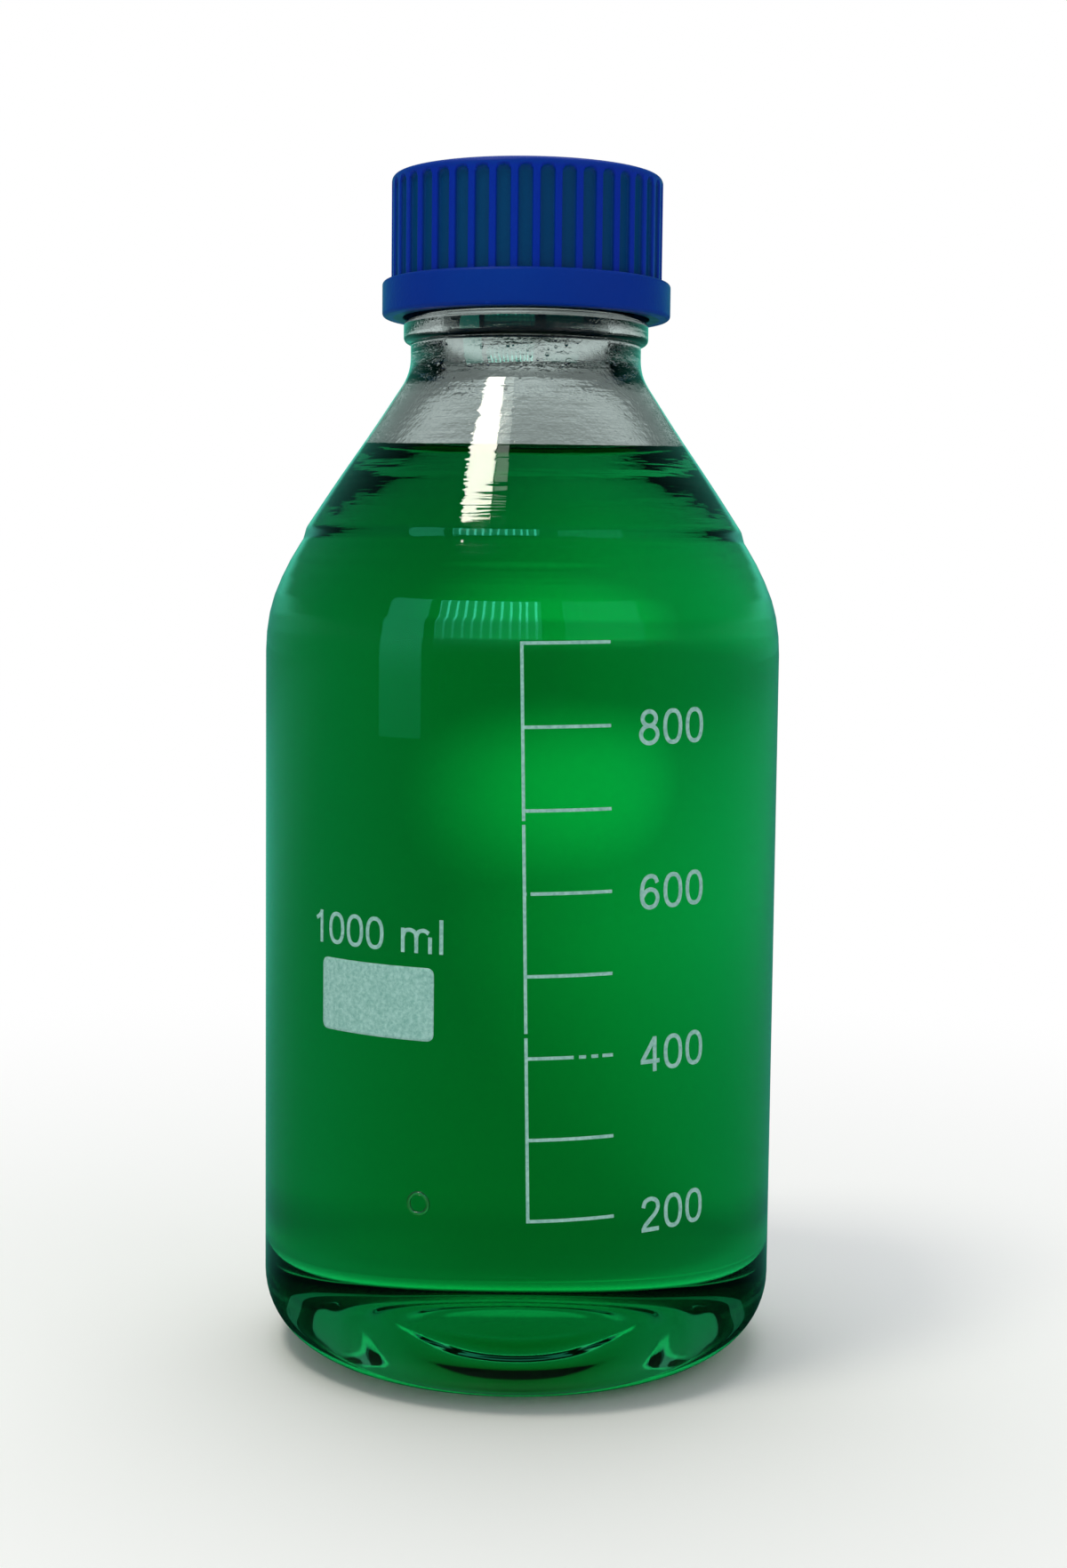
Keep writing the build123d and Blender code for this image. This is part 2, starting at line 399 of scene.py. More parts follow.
punt_sphere = (punt_radius**2 + punt_depth**2) / (2 * punt_depth)
cone_end = shoulder_corner + (body_radius - neck_radius) / tan(cone_angle)
rim_step = glass_top - 6.0
groove = glass_top - 3.9
outside = rounded_outline(
    [
        (punt_radius, 0.0, 0.0),
        (body_radius, 0.0, heel_radius),
        (body_radius, shoulder_corner, shoulder_radius),
        (neck_radius, cone_end, neck_blend),
        (neck_radius, bead_top - bead_height, 0.5),
        (neck_radius + bead_reach, bead_top - bead_height, bead_round),
        (neck_radius + bead_reach, bead_top, bead_round),
        (core_radius, bead_top, 0.6),
        (core_radius, rim_step, 0.6),
        (rim_radius, rim_step, 0.4),
        (rim_radius, groove - groove_half, groove_round),
        (rim_radius - groove_depth, groove - groove_half, groove_round),
        (rim_radius - groove_depth, groove + groove_half, groove_round),
        (rim_radius, groove + groove_half, groove_round),
        (rim_radius, glass_top, rim_round),
        (bore_radius, glass_top, rim_round),
        (bore_radius, glass_top - 10, 0.0),
    ]
)[:-1]
inside = rounded_outline([(0.0, base_thickness, 0.0)] + inner_corners(0.0, glass_top - 2))
print("outside points", len(outside), "inside points", len(inside))

# %% [markdown]
# Where the cone was pressed in its mould it keeps a shallow ring: the wall stands out a
# little above it and in a little below. The inside follows it, with fainter rings over it.
# A ring like this is a few tenths of a millimetre high, but light that is bent or
# mirrored by it shows it plainly, so it is made in the surface and not as a bump.

# %% Rings in the cone
cone_foot = 140
outer_ring = (161.0, 0.42)  # height and reach
inner_ring = (159.5, 0.3)
ring_half_step = 1.1
ring_fade_above, ring_fade_below = 16.0, 11.0
faint_ring_reach, faint_ring_spacing, faint_ring_start = 0.14, 5.2, 164
faint_ring_middle, faint_ring_fade = 169, 6


def ring_wave(height, middle, reach):
    """A step in the radius, which dies away over a stretch above it and one below."""
    away = height - middle
    step = max(-1.0, min(1.0, away / ring_half_step))
    fade = ring_fade_above if away > 0 else ring_fade_below
    return reach * step * exp(-((away / fade) ** 4))


def waved(points, inner=False):
    """An outline with the rings of the cone."""
    moved = []
    for radius, height in points:
        if bore_radius + 2 < radius < body_radius + 1 and height > cone_foot:
            radius += ring_wave(height, *(inner_ring if inner else outer_ring))
            if inner:
                lap = sin((height - faint_ring_start) * tau / faint_ring_spacing)
                fade = exp(-(((height - faint_ring_middle) / faint_ring_fade) ** 2))
                radius += faint_ring_reach * lap * fade
        moved.append((radius, height))
    return moved


def divide_cone(points, longest, longest_in_cone):
    """Divides an outline finely between the shoulder and the neck, coarsely elsewhere."""
    finer = [points[0]]
    for start, end in zip(points, points[1:]):
        in_cone = min(start[1], end[1]) > cone_foot and abs(start[0] - end[0]) > 0.5
        finer += subdivide_outline([start, end], longest_in_cone if in_cone else longest)[1:]
    return finer


print("ring step", round(ring_wave(outer_ring[0] + 2, *outer_ring), 2))

# %% [markdown]
# The floor of the cavity is a dome over the dome of the base, so the glass is as thick in
# the middle as at the ring it stands on. Long straight stretches are divided too, so that
# the thread has enough rows and the wall has somewhere to wave. Rows cost triangles, so
# they are fine only there. A face's row tells its material: the outside is plain glass,
# the inside is wetted up to the liquid and misted over it.

# %% Vessel mesh
outside_row, inside_row, cone_row, thread_row = 3.2, 1.6, 0.5, 0.34
base_rows = 44
vessel_turns = 140


def with_dome(points, dome_top, dome_radius):
    """Replaces a flat floor by the dome wherever the dome stands higher."""
    raised = []
    for radius, height in points:
        dome = dome_top - dome_radius + sqrt(max(0.0, dome_radius**2 - radius**2))
        raised.append((radius, max(height, dome)))
    return raised


def divide_threaded(points):
    """Fine rows where the thread is, coarse rows elsewhere."""
    finer = [points[0]]
    for start, end in zip(points, points[1:]):
        threaded = abs(start[0] - end[0]) < 1e-6 and abs(start[0] - core_radius) < 1e-3
        finer += subdivide_outline([start, end], thread_row if threaded else 40.0)[1:]
    return finer


floor_sphere = punt_sphere + base_thickness
floor_points = with_dome(
    divide_cone(inside, inside_row, cone_row), punt_depth + base_thickness, floor_sphere
)
skin = domed(punt_depth, punt_sphere, punt_radius, base_rows)
skin += waved(divide_threaded(divide_cone(outside, outside_row, cone_row)))[1:]
cavity = waved([p for p in floor_points if p[1] <= glass_top - 2], inner=True)
vessel_rows = skin + list(reversed(cavity))
vessel_mesh = lathe(
    "bottle_glass",
    vessel_rows,
    even_turns(vessel_turns),
    lambda turn, radius, height: (
        thread_swell(turn, height, neck_thread)
        if radius > core_radius - 0.01 and bead_top + 1 < height < rim_step - 0.5
        else 0.0
    ),
)
vessel = new_object("bottle_glass", vessel_mesh, borosilicate, wetted_glass, misted_glass)
for face in vessel_mesh.polygons:
    band = face.index // vessel_turns
    if band >= len(skin):
        face.material_index = 1 if vessel_rows[band][1] < fill_level + 0.2 else 2
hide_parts("bottle")
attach(vessel, "bottle")
print("vessel faces", len(vessel_mesh.polygons))

# %% [markdown]
# ## The green medium
# The liquid fills the cavity up to its level, and creeps a little way up the glass in a
# meniscus. Its colour isn't on its surface but in its depth: a ray that crosses more of
# it comes out darker and greener. So its side faces don't bend light at all, its top
# bends it as water does, and the body between them absorbs red and blue. Painting the
# surface green would be simpler, but then the thin heel would be as dark as the middle.

# %% Medium materials


def medium_material(name, index):
    """Green liquid that takes its colour from its depth."""
    material, tree, shader = shader_material(
        name, (1.0, 1.0, 1.0), 0.0, IOR=index, Transmission_Weight=1.0
    )
    depth = add_node(tree, "ShaderNodeVolumeAbsorption", Density=80.0)
    depth.inputs["Color"].default_value = (0.0, 0.878, 0.58, 1.0)
    output = tree.nodes["Material Output"]
    tree.links.new(depth.outputs["Volume"], output.inputs["Volume"])
    return material


medium_side = medium_material("green_medium", 1.0)
medium_top = medium_material("green_medium_surface", water_index)

# %% [markdown]
# The meniscus is the curve that surface tension gives a liquid by a wall. Its scale is the
# capillary length, 2.7 mm for water. A formula gives how far from the wall the surface
# stands at each height, so the curve is steep at the glass and flat a few lengths away.

# %% Medium mesh
gap = 0.05
wet_wall = rounded_outline(
    [(0.0, base_thickness + gap, 0.0)] + inner_corners(gap, glass_top - 2)
)
wet_wall = with_dome(
    divide_cone(wet_wall, inside_row, cone_row),
    punt_depth + base_thickness + gap,
    floor_sphere + gap,
)
wet_wall = waved([p for p in wet_wall if p[1] < fill_level - gap], inner=True)
edge_low = wet_wall[-1]
edge_radius = edge_low[0] - (fill_level - edge_low[1]) * tan(cone_angle)
capillary_length = 2.7
contact_slope = radians(76)
meniscus_rows = 25
medium_turns = 240


def meniscus_reach(rise):
    """How far from a wall the surface stands at a height over the level, with no offset."""
    share = rise / capillary_length
    return capillary_length * (acosh(2 / share) - sqrt(4 - share**2))


contact_rise = 2 * capillary_length * sin(contact_slope / 2)
level = fill_level - contact_rise
surface = []
for step in range(meniscus_rows):
    rise = contact_rise * (1 - step / meniscus_rows) ** 1.4
    inward = meniscus_reach(rise) - meniscus_reach(contact_rise)
    surface.append((edge_radius - inward, level + rise))
surface += [(edge_radius * share, level) for share in (0.5, 0.25)]
medium_mesh = lathe(
    "green_medium", wet_wall + surface + [(0.0, level)], even_turns(medium_turns)
)
medium = new_object("green_medium", medium_mesh, medium_side, medium_top)
for face in medium_mesh.polygons:
    off_wall = hypot(face.center.x, face.center.y) / MM < edge_radius - 0.02
    face.material_index = 1 if off_wall and face.center.z / MM > level - 0.1 else 0
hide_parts("medium")
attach(medium, "bottle")
print("medium faces", len(medium_mesh.polygons), "surface radius", round(edge_radius, 1))

# %% [markdown]
# ## Condensation and the mould's mark
# Water that left the medium has settled on the inside of the neck as small drops. Each is
# a flattened bead of water, and a seeded random generator places them, so that they fall
# in the same places every time. Low on the front the mould has left a small raised ring,
# a torus of glass of which the outer half shows.

# %% Condensation


def radius_inside(height):
    """The radius of the cavity at a height, read from its own rows."""
    for low, high in zip(cavity, cavity[1:]):
        if low[1] <= height < high[1]:
            return low[0] + (high[0] - low[0]) * (height - low[1]) / (high[1] - low[1])
    return bore_radius


random.seed(12)
drop_count = 70
drop_water, _, _ = shader_material(
    "drop_water", (1.0, 1.0, 1.0), 0.0, IOR=water_index, Transmission_Weight=1.0
)
drop_builder = bmesh.new()
for _ in range(drop_count):
    drop_angle = radians(random.choice((random.gauss(-62, 9), random.gauss(-8, 26))))
    drop_height = glass_top - random.uniform(26.5, 38.0)
    drop_size = random.uniform(0.16, 0.42) * (1.7 if random.random() < 0.12 else 1.0)
    wall_radius = radius_inside(drop_height)
    squash = Matrix.Diagonal((0.45, 1.0, random.uniform(1.0, 1.5), 1.0))
    spot = Vector((wall_radius - 0.5 * drop_size, 0.0, drop_height)) * MM
    turned = Matrix.Rotation(drop_angle - pi / 2, 4, "Z") @ Matrix.Translation(spot)
    bmesh.ops.create_icosphere(
        drop_builder, subdivisions=2, radius=drop_size * MM, matrix=turned @ squash
    )
drop_mesh = bpy.data.meshes.new("condensation")
drop_builder.to_mesh(drop_mesh)
drop_builder.free()
drops = new_object("condensation", drop_mesh, drop_water)
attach(drops, "bottle")
print("drops", drop_count, "faces", len(drop_mesh.polygons))

# %% Mould mark
mark_across, mark_up = -17.7, 39.3
mark_ring, mark_bead, mark_rise = 1.9, 0.4, 0.3
mark_steps, mark_corners = 48, 12
mark_angle = mark_across / body_radius - pi / 2
mark_builder = bmesh.new()
mark_rows = []
for step in range(mark_steps):
    around = tau * step / mark_steps
    row = []
    for corner in range(mark_corners):
        bend = tau * corner / mark_corners
        along = (mark_ring + mark_bead * cos(bend)) * cos(around)
        up = mark_up + (mark_ring + mark_bead * cos(bend)) * sin(around)
        out = body_radius + mark_rise * sin(bend)
        angle = mark_angle + along / body_radius
        row.append(mark_builder.verts.new((out * cos(angle) * MM, out * sin(angle) * MM, up * MM)))
    mark_rows.append(row)
for step in range(mark_steps):
    for corner in range(mark_corners):
        this, after = mark_rows[step], mark_rows[(step + 1) % mark_steps]
        low, high = corner, (corner + 1) % mark_corners
        mark_builder.faces.new((this[low], after[low], after[high], this[high]))
bmesh.ops.recalc_face_normals(mark_builder, faces=mark_builder.faces)
mark_mesh = bpy.data.meshes.new("mould_mark")
mark_builder.to_mesh(mark_mesh)
mark_builder.free()
mould_mark = new_object("mould_mark", mark_mesh, borosilicate)
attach(mould_mark, "bottle")
print("mould mark faces", len(mark_mesh.polygons))

# %% [markdown]
# ## The blue plastic
# The cap and the pouring ring are moulded polypropylene. It is a dense blue with a soft
# sheen, a faint grain from the mould, and a paler blue on its edges, in patches, which is
# a painted highlight. The edges are found from the shape itself, with the Geometry node's
# Pointiness, so the painted highlight stays on the ribs' edges from every side.

# %% Blue plastic


def blue_plastic(name, base, edge_highlight):
    """Moulded polypropylene with a grain and a painted highlight on its edges, and its colour's
    input.
    """
    material, tree, shader = shader_material(
        name, base, 0.42, Specular_IOR_Level=0.08, IOR=1.49
    )
    place = add_node(tree, "ShaderNodeTexCoord")
    cloud = add_node(tree, "ShaderNodeTexNoise", Scale=320.0, Detail=4.0)
    edges = add_node(tree, "ShaderNodeNewGeometry")
    keep = add_node(tree, "ShaderNodeMapRange", From_Min=0.5, From_Max=0.62)
    amount = add_node(tree, "ShaderNodeMath", operation="MULTIPLY")
    # Painted highlight: a paler blue on convex edges, in noisy patches.
    blend = add_node(tree, "ShaderNodeMix", data_type="RGBA")
    blend.inputs["A"].default_value = (*base, 1.0)
    blend.inputs["B"].default_value = (*edge_highlight, 1.0)
    fine = add_node(tree, "ShaderNodeTexNoise", Scale=1400.0, Detail=3.0)
    bump = add_node(tree, "ShaderNodeBump", Strength=0.25, Distance=0.0002)
    shine = add_node(tree, "ShaderNodeMapRange", To_Min=0.3, To_Max=0.5)
    links = tree.links
    links.new(place.outputs["Object"], cloud.inputs["Vector"])
    links.new(place.outputs["Object"], fine.inputs["Vector"])
    links.new(edges.outputs["Pointiness"], keep.inputs["Value"])
    links.new(keep.outputs["Result"], amount.inputs[0])
    links.new(cloud.outputs["Fac"], amount.inputs[1])
    links.new(amount.outputs["Value"], blend.inputs["Factor"])
    links.new(blend.outputs["Result"], shader.inputs["Base Color"])
    links.new(cloud.outputs["Fac"], shine.inputs["Value"])
    links.new(shine.outputs["Result"], shader.inputs["Roughness"])
    links.new(fine.outputs["Fac"], bump.inputs["Height"])
    links.new(bump.outputs["Normal"], shader.inputs["Normal"])
    return material, tree, blend.inputs["A"]


cap_blue, cap_tree, cap_base = blue_plastic(
    "cap_blue_plastic", (0.001, 0.03, 0.2), (0.008, 0.05, 0.42)
)
ring_blue, _, _ = blue_plastic("ring_blue_plastic", (0.001, 0.035, 0.19), (0.01, 0.08, 0.38))

# %% [markdown]
# The flutes' floors are painted darker and greener than the ribs, as painted shade in the
# recesses.
# How far a point lies from the axis tells a flute from a rib and from the flange, and a
# colour ramp over that distance gives each its own blue. The plain top is told by height.

# %% Cap colours
cap_place = add_node(cap_tree, "ShaderNodeTexCoord")
cap_axes = add_node(cap_tree, "ShaderNodeSeparateXYZ")
cap_flat = add_node(cap_tree, "ShaderNodeVectorMath", operation="MULTIPLY")
cap_flat.inputs[1].default_value = (1.0, 1.0, 0.0)
cap_out = add_node(cap_tree, "ShaderNodeVectorMath", operation="LENGTH")
cap_share = add_node(cap_tree, "ShaderNodeMapRange", From_Min=25 * MM, From_Max=29 * MM)
cap_colour_and_shade_bands = add_node(cap_tree, "ShaderNodeValToRGB")
cap_high = add_node(
    cap_tree, "ShaderNodeMapRange", From_Min=(cap_top - 1.9) * MM, From_Max=(cap_top - 0.9) * MM
)
cap_colour = add_node(cap_tree, "ShaderNodeMix", data_type="RGBA")
cap_colour.inputs["B"].default_value = (0.0015, 0.03, 0.3, 1.0)
bands = cap_colour_and_shade_bands.color_ramp.elements
# The first band, at the flutes' floors, is painted shade: a darker, greener blue than the ribs.
bands[0].position, bands[0].color = 0.17, (0.0004, 0.05, 0.16, 1.0)
bands[1].position, bands[1].color = 0.31, (0.0008, 0.022, 0.36, 1.0)
flange_band = bands.new(0.6)
flange_band.color = (0.0008, 0.03, 0.29, 1.0)
cap_tree.links.new(cap_place.outputs["Object"], cap_flat.inputs[0])
cap_tree.links.new(cap_flat.outputs["Vector"], cap_out.inputs[0])
cap_tree.links.new(cap_out.outputs["Value"], cap_share.inputs["Value"])
cap_tree.links.new(cap_share.outputs["Result"], cap_colour_and_shade_bands.inputs["Fac"])
cap_tree.links.new(cap_place.outputs["Object"], cap_axes.inputs["Vector"])
cap_tree.links.new(cap_axes.outputs["Z"], cap_high.inputs["Value"])
cap_tree.links.new(cap_high.outputs["Result"], cap_colour.inputs["Factor"])
cap_tree.links.new(cap_colour_and_shade_bands.outputs["Color"], cap_colour.inputs["A"])
cap_tree.links.new(cap_colour.outputs["Result"], cap_base)
print("colour bands", len(bands))

# %% [markdown]
# ## The screw cap
# The cap is one moulding: a skirt with forty grip flutes, a smooth flange below them, and
# inside it the thread, a counterbore that clears the bottle's bead, and a small bead that
# keeps the liner. A flute has a flat floor and a round end near the top, so its depth
# depends on how far a point lies from the flute's middle line. Evenly spaced angles would
# blur the flutes' walls, so the angles crowd together there. Rows crowd together in the
# same way over the thread and at the round ends of the flutes.

# %% Cap angles and ripple
cap_radius = 26.35
cap_bore = 22.6
cap_edge_round = 1.3
flange_radius = 28.1
flange_round = 0.8
flange_top = cap_bottom + 6.9
relief_radius = 24.0  # clears the bottle's bead
relief_top = cap_bottom + 3.6
retainer_reach = 0.6
retainer_top = ring_top - 0.1
retainer_foot = ring_top - 0.9
rib_count = 40
flute_reach = 1.35
flute_depth = 0.8
flute_wall = 0.24
flute_end = cap_top - 1.5 - flute_reach

flute_marks = [0.0, 0.7, 1.15, 1.25, 1.35, 1.45, 1.56]
flute_offsets = [-m for m in reversed(flute_marks[1:])] + flute_marks
flute_offsets.append(cap_radius * pi / rib_count)
cap_turns = sorted(
    (tau * flute / rib_count + offset / cap_radius) % tau
    for flute in range(rib_count)
    for offset in flute_offsets
)


def cap_ripple(turn, radius, height):
    """Flutes outside and the thread inside."""
    if abs(radius - cap_bore) < 0.01 and relief_top < height < ring_top - 1:
        return -thread_swell(turn, height, cap_thread)
    if radius < cap_radius - 0.1 or height < flange_top - 0.01 or height > cap_top - 1.2:
        return 0.0
    step = tau / rib_count
    across = ((turn + step / 2) % step - step / 2) * cap_radius
    away = hypot(across, max(0.0, height - flute_end))
    fade = max(0.0, min(1.0, (flute_reach + flute_wall / 2 - away) / flute_wall))
    return -flute_depth * fade * fade * (3 - 2 * fade)


# %% Cap outline and mesh
cap_outline = rounded_outline(
    [
        (0.0, liner_top, 0.0),
        (cap_bore, liner_top, 0.3),
        (cap_bore, retainer_top, 0.1),
        (cap_bore - retainer_reach, retainer_top, 0.25),
        (cap_bore - retainer_reach, retainer_foot, 0.25),
        (cap_bore, retainer_foot, 0.1),
        (cap_bore, relief_top, 0.2),
        (relief_radius, relief_top, 0.3),
        (relief_radius, cap_bottom, 0.3),
        (flange_radius, cap_bottom, flange_round),
        (flange_radius, flange_top, flange_round),
        (cap_radius, flange_top, 0.25),
        (cap_radius, cap_top, cap_edge_round),
        (0.0, cap_top, 0.0),
    ],
    12.0,
)
cap_rows = [cap_outline[0]]
for start, end in zip(cap_outline, cap_outline[1:]):
    if abs(start[0] - end[0]) > 1e-3:
        longest = 4.0
    elif abs(start[0] - cap_bore) < 1e-3:
        longest = 0.5
    elif abs(start[0] - cap_radius) < 1e-3:
        split = flute_end - 0.2
        cap_rows += subdivide_outline([start, (cap_radius, split)], 2.5)[1:]
        cap_rows += subdivide_outline([(cap_radius, split), end], 0.2)[1:]
        continue
    else:
        longest = 3.0
    cap_rows += subdivide_outline([start, end], longest)[1:]
cap_mesh = lathe("screw_cap_moulding", cap_rows, cap_turns, cap_ripple)
cap_mesh.flip_normals()
cap = new_object("screw_cap_moulding", cap_mesh, cap_blue)
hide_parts("screw_cap")
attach(cap, "cap")
print("cap faces", len(cap_mesh.polygons))

# %% [markdown]
# ## The pouring ring and the liner
# The ring snaps over the glass rim and ends in a sharp lip that sheds the last drop. The
# liner is a soft disc that the cap presses on it. Both are plain turned forms, hidden
# until the cap comes off, so their true section with softened edges is enough.

# %% Pouring ring
ring_mouth = 17.1
ring_lip, ring_lip_height = 21.0, 1.0
ring_outer, ring_inner, ring_snap = 20.7, 19.95, 19.65
ring_foot = glass_top - 5.4
snap_half = 0.45
ring_outline = rounded_outline(
    [
        (ring_mouth, ring_top - 0.7, 0.0),
        (ring_mouth, ring_top, 0.35),
        (ring_lip, ring_top, 0.12),
        (ring_outer, ring_top - ring_lip_height, 0.3),
        (ring_outer, ring_foot, 0.2),
        (ring_inner, ring_foot, 0.15),
        (ring_inner, groove - snap_half, 0.1),
        (ring_snap, groove, 0.1),
        (ring_inner, groove + snap_half, 0.1),
        (ring_inner, glass_top, 0.1),
        (ring_mouth, glass_top, 0.2),
        (ring_mouth, ring_top - 0.7, 0.0),
    ],
    20.0,
)
ring_mesh = lathe("drip_ring", list(reversed(ring_outline)), even_turns(192))
ring_builder = bmesh.new()
ring_builder.from_mesh(ring_mesh)
bmesh.ops.remove_doubles(ring_builder, verts=ring_builder.verts, dist=1e-7)
bmesh.ops.recalc_face_normals(ring_builder, faces=ring_builder.faces)
ring_builder.to_mesh(ring_mesh)
ring_builder.free()
ring = new_object("drip_ring", ring_mesh, ring_blue)
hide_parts("pouring_ring")
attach(ring, "bottle")

# %% Liner
liner_white, liner_tree, liner_shader = shader_material(
    "liner_silicone", (0.78, 0.76, 0.7), 0.6, Subsurface_Weight=0.1
)
liner_grain = add_node(liner_tree, "ShaderNodeTexNoise", Scale=900.0, Detail=3.0)
liner_bump = add_node(liner_tree, "ShaderNodeBump", Strength=0.2, Distance=0.0002)
liner_tree.links.new(liner_grain.outputs["Fac"], liner_bump.inputs["Height"])
liner_tree.links.new(liner_bump.outputs["Normal"], liner_shader.inputs["Normal"])
liner_radius = 22.3
liner_outline = rounded_outline(
    [
        (0.0, ring_top, 0.0),
        (liner_radius, ring_top, 0.3),
        (liner_radius, liner_top, 0.3),
        (0.0, liner_top, 0.0),
    ],
    15.0,
)
liner_mesh = lathe("cap_liner", subdivide_outline(liner_outline, 4.0), even_turns(128))
liner = new_object("cap_liner", liner_mesh, liner_white)
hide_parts("sealing_liner")
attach(liner, "liner")
print("ring faces", len(ring_mesh.polygons), "liner faces", len(liner_mesh.polygons))

# %% [markdown]
# ## White enamel
# The marks are ceramic ink, screened on and fired into the glass. It is a pale, matt,
# slightly speckled film, thin enough that a little green shows through it. A noise gives
# the speckle, and a fine bump the dry surface.

# %% Enamel material
enamel, enamel_tree, enamel_shader = shader_material(
    "white_enamel", (0.42, 0.62, 0.55), 0.55
)
enamel_place = add_node(enamel_tree, "ShaderNodeTexCoord")
speckle = add_node(enamel_tree, "ShaderNodeTexNoise", Scale=1300.0, Detail=6.0, Roughness=0.7)
enamel_ramp = add_node(enamel_tree, "ShaderNodeMapRange", From_Min=0.35, From_Max=0.65)
enamel_mix = add_node(enamel_tree, "ShaderNodeMix", data_type="RGBA")
enamel_mix.inputs["A"].default_value = (0.2, 0.46, 0.4, 1.0)
enamel_mix.inputs["B"].default_value = (0.4, 0.68, 0.62, 1.0)
enamel_bump = add_node(enamel_tree, "ShaderNodeBump", Strength=0.3, Distance=0.0001)
enamel_links = enamel_tree.links
enamel_links.new(enamel_place.outputs["Object"], speckle.inputs["Vector"])
enamel_links.new(speckle.outputs["Fac"], enamel_ramp.inputs["Value"])
enamel_links.new(enamel_ramp.outputs["Result"], enamel_mix.inputs["Factor"])
enamel_links.new(enamel_mix.outputs["Result"], enamel_shader.inputs["Base Color"])
enamel_links.new(speckle.outputs["Fac"], enamel_bump.inputs["Height"])
enamel_links.new(enamel_bump.outputs["Normal"], enamel_shader.inputs["Normal"])

# %% [markdown]
# ## Drawing on a cylinder
# The print is drawn flat, in millimetres along the glass and up it, and each point is
# then laid on the body. Text objects bent with a modifier would also work, but plain
# strokes of one width are closer to the ink's even line, and a stroke can be broken off
# where the ink has worn away.

# %% Helpers: strokes laid on the glass
film_top, film_foot = 0.12, 0.02


def lay_on_glass(across, up, lift):
    """A point of the flat drawing, in metres, on the body or a lift above it."""
    angle = across / body_radius
    reach = (body_radius + lift) * MM
    return (reach * sin(angle), -reach * cos(angle), up * MM)


class Print:
    """Collects flat strokes and turns them into one thin skin on the glass."""

    def __init__(self, name):
        self.name, self.verts, self.faces = name, [], []

    def stroke(self, points, width, closed=False):
        """A band of even width along points, with mitred turns."""
        count = len(points)
        first = len(self.verts)
        for i, point in enumerate(points):
            before = points[i - 1] if i or closed else point
            after = points[(i + 1) % count] if i < count - 1 or closed else point
            arrive = Vector((point[0] - before[0], point[1] - before[1]))
            leave = Vector((after[0] - point[0], after[1] - point[1]))
            arrive = arrive.normalized() if arrive.length > 1e-9 else leave.normalized()
            leave = leave.normalized() if leave.length > 1e-9 else arrive
            along = (arrive + leave).normalized()
            side = Vector((-along.y, along.x))
            stretch = max(0.6, Vector((-arrive.y, arrive.x)).dot(side))
            side *= width / 2 / stretch
            for lift, sign in ((film_top, 1), (film_top, -1), (film_foot, -1), (film_foot, 1)):
                edge = (point[0] + side.x * sign, point[1] + side.y * sign)
                self.verts.append(lay_on_glass(*edge, lift))
        for i in range(count if closed else count - 1):
            low, high = first + 4 * i, first + 4 * ((i + 1) % count)
            for k in range(4):
                m = (k + 1) % 4
                self.faces.append((low + k, low + m, high + m, high + k))
        if not closed:
            last = first + 4 * (count - 1)
            self.faces.append((first + 3, first + 2, first + 1, first))
            self.faces.append((last, last + 1, last + 2, last + 3))

    def finish(self, node=None):
        """Makes the object, standing for a node where there is one."""
        mesh = bpy.data.meshes.new(self.name)
        mesh.from_pydata(self.verts, [], self.faces)
        builder = bmesh.new()
        builder.from_mesh(mesh)
        bmesh.ops.recalc_face_normals(builder, faces=builder.faces)
        builder.to_mesh(mesh)
        builder.free()
        film = new_object(self.name, mesh, enamel)
        mesh.polygons.foreach_set("use_smooth", [False] * len(mesh.polygons))
        if node:
            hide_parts(node)
        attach(film, "bottle")
        print(self.name, "faces", len(mesh.polygons))
        return film


def line(start, end, step=1.0):
    """Evenly spaced points from start to end."""
    count = max(1, int(hypot(end[0] - start[0], end[1] - start[1]) / step + 0.5))
    return [
        (
            start[0] + (end[0] - start[0]) * i / count,
            start[1] + (end[1] - start[1]) * i / count,
        )
        for i in range(count + 1)
    ]


# %% [markdown]
# ## The graduation
# One upright line carries a mark for each 100 ml, from 200 to 900. The screen was set a
# little crooked, so the whole scale leans about its middle. The ink has flaked in a few
# places, and there the stroke stops and starts again.

# %% Graduation scale
scale_middle = (9.6, 89.4)
mark_spacing = 14.913
lean = radians(1.2)
mark_length = 16.0
line_width = 0.6


def on_scale(across, up):
    """A point given from the scale's middle, leaned with the print."""
    return (
        scale_middle[0] + across * cos(lean) - up * sin(lean),
        scale_middle[1] + across * sin(lean) + up * cos(lean),
    )


def mark_height(mark):
    """A mark's height over the scale's middle."""
    return (mark - 3.5) * mark_spacing


scale = Print("graduation_print")
mark_count = 8
mark_end = mark_length / 2
mark_start = -mark_end - line_width / 2
scale_foot = mark_height(0) - line_width / 2
scale_head = mark_height(mark_count - 1) + line_width / 2
for low, high in ((scale_foot, -18.6), (-17.8, 19.9), (20.6, scale_head)):
    scale.stroke([on_scale(*p) for p in line((-mark_end, low), (-mark_end, high))], line_width)
worn_marks = {
    2: [(mark_start, 0.6), (1.6, 2.9), (3.9, 5.2), (6.0, mark_end)],
    4: [(mark_start, -7.6), (-6.9, mark_end)],
}
for mark in range(mark_count):
    up = mark_height(mark)
    for left, right in worn_marks.get(mark, [(mark_start, mark_end)]):
        scale.stroke([on_scale(*p) for p in line((left, up), (right, up))], line_width)
scale.finish("graduation_scale")

# %% [markdown]
# ## The numerals
# The numerals are plain upright figures of one stroke width. Each figure is a few curves
# in a box one unit high, drawn through points with a smooth spline, and then scaled.

# %% Helper: a smooth curve through points


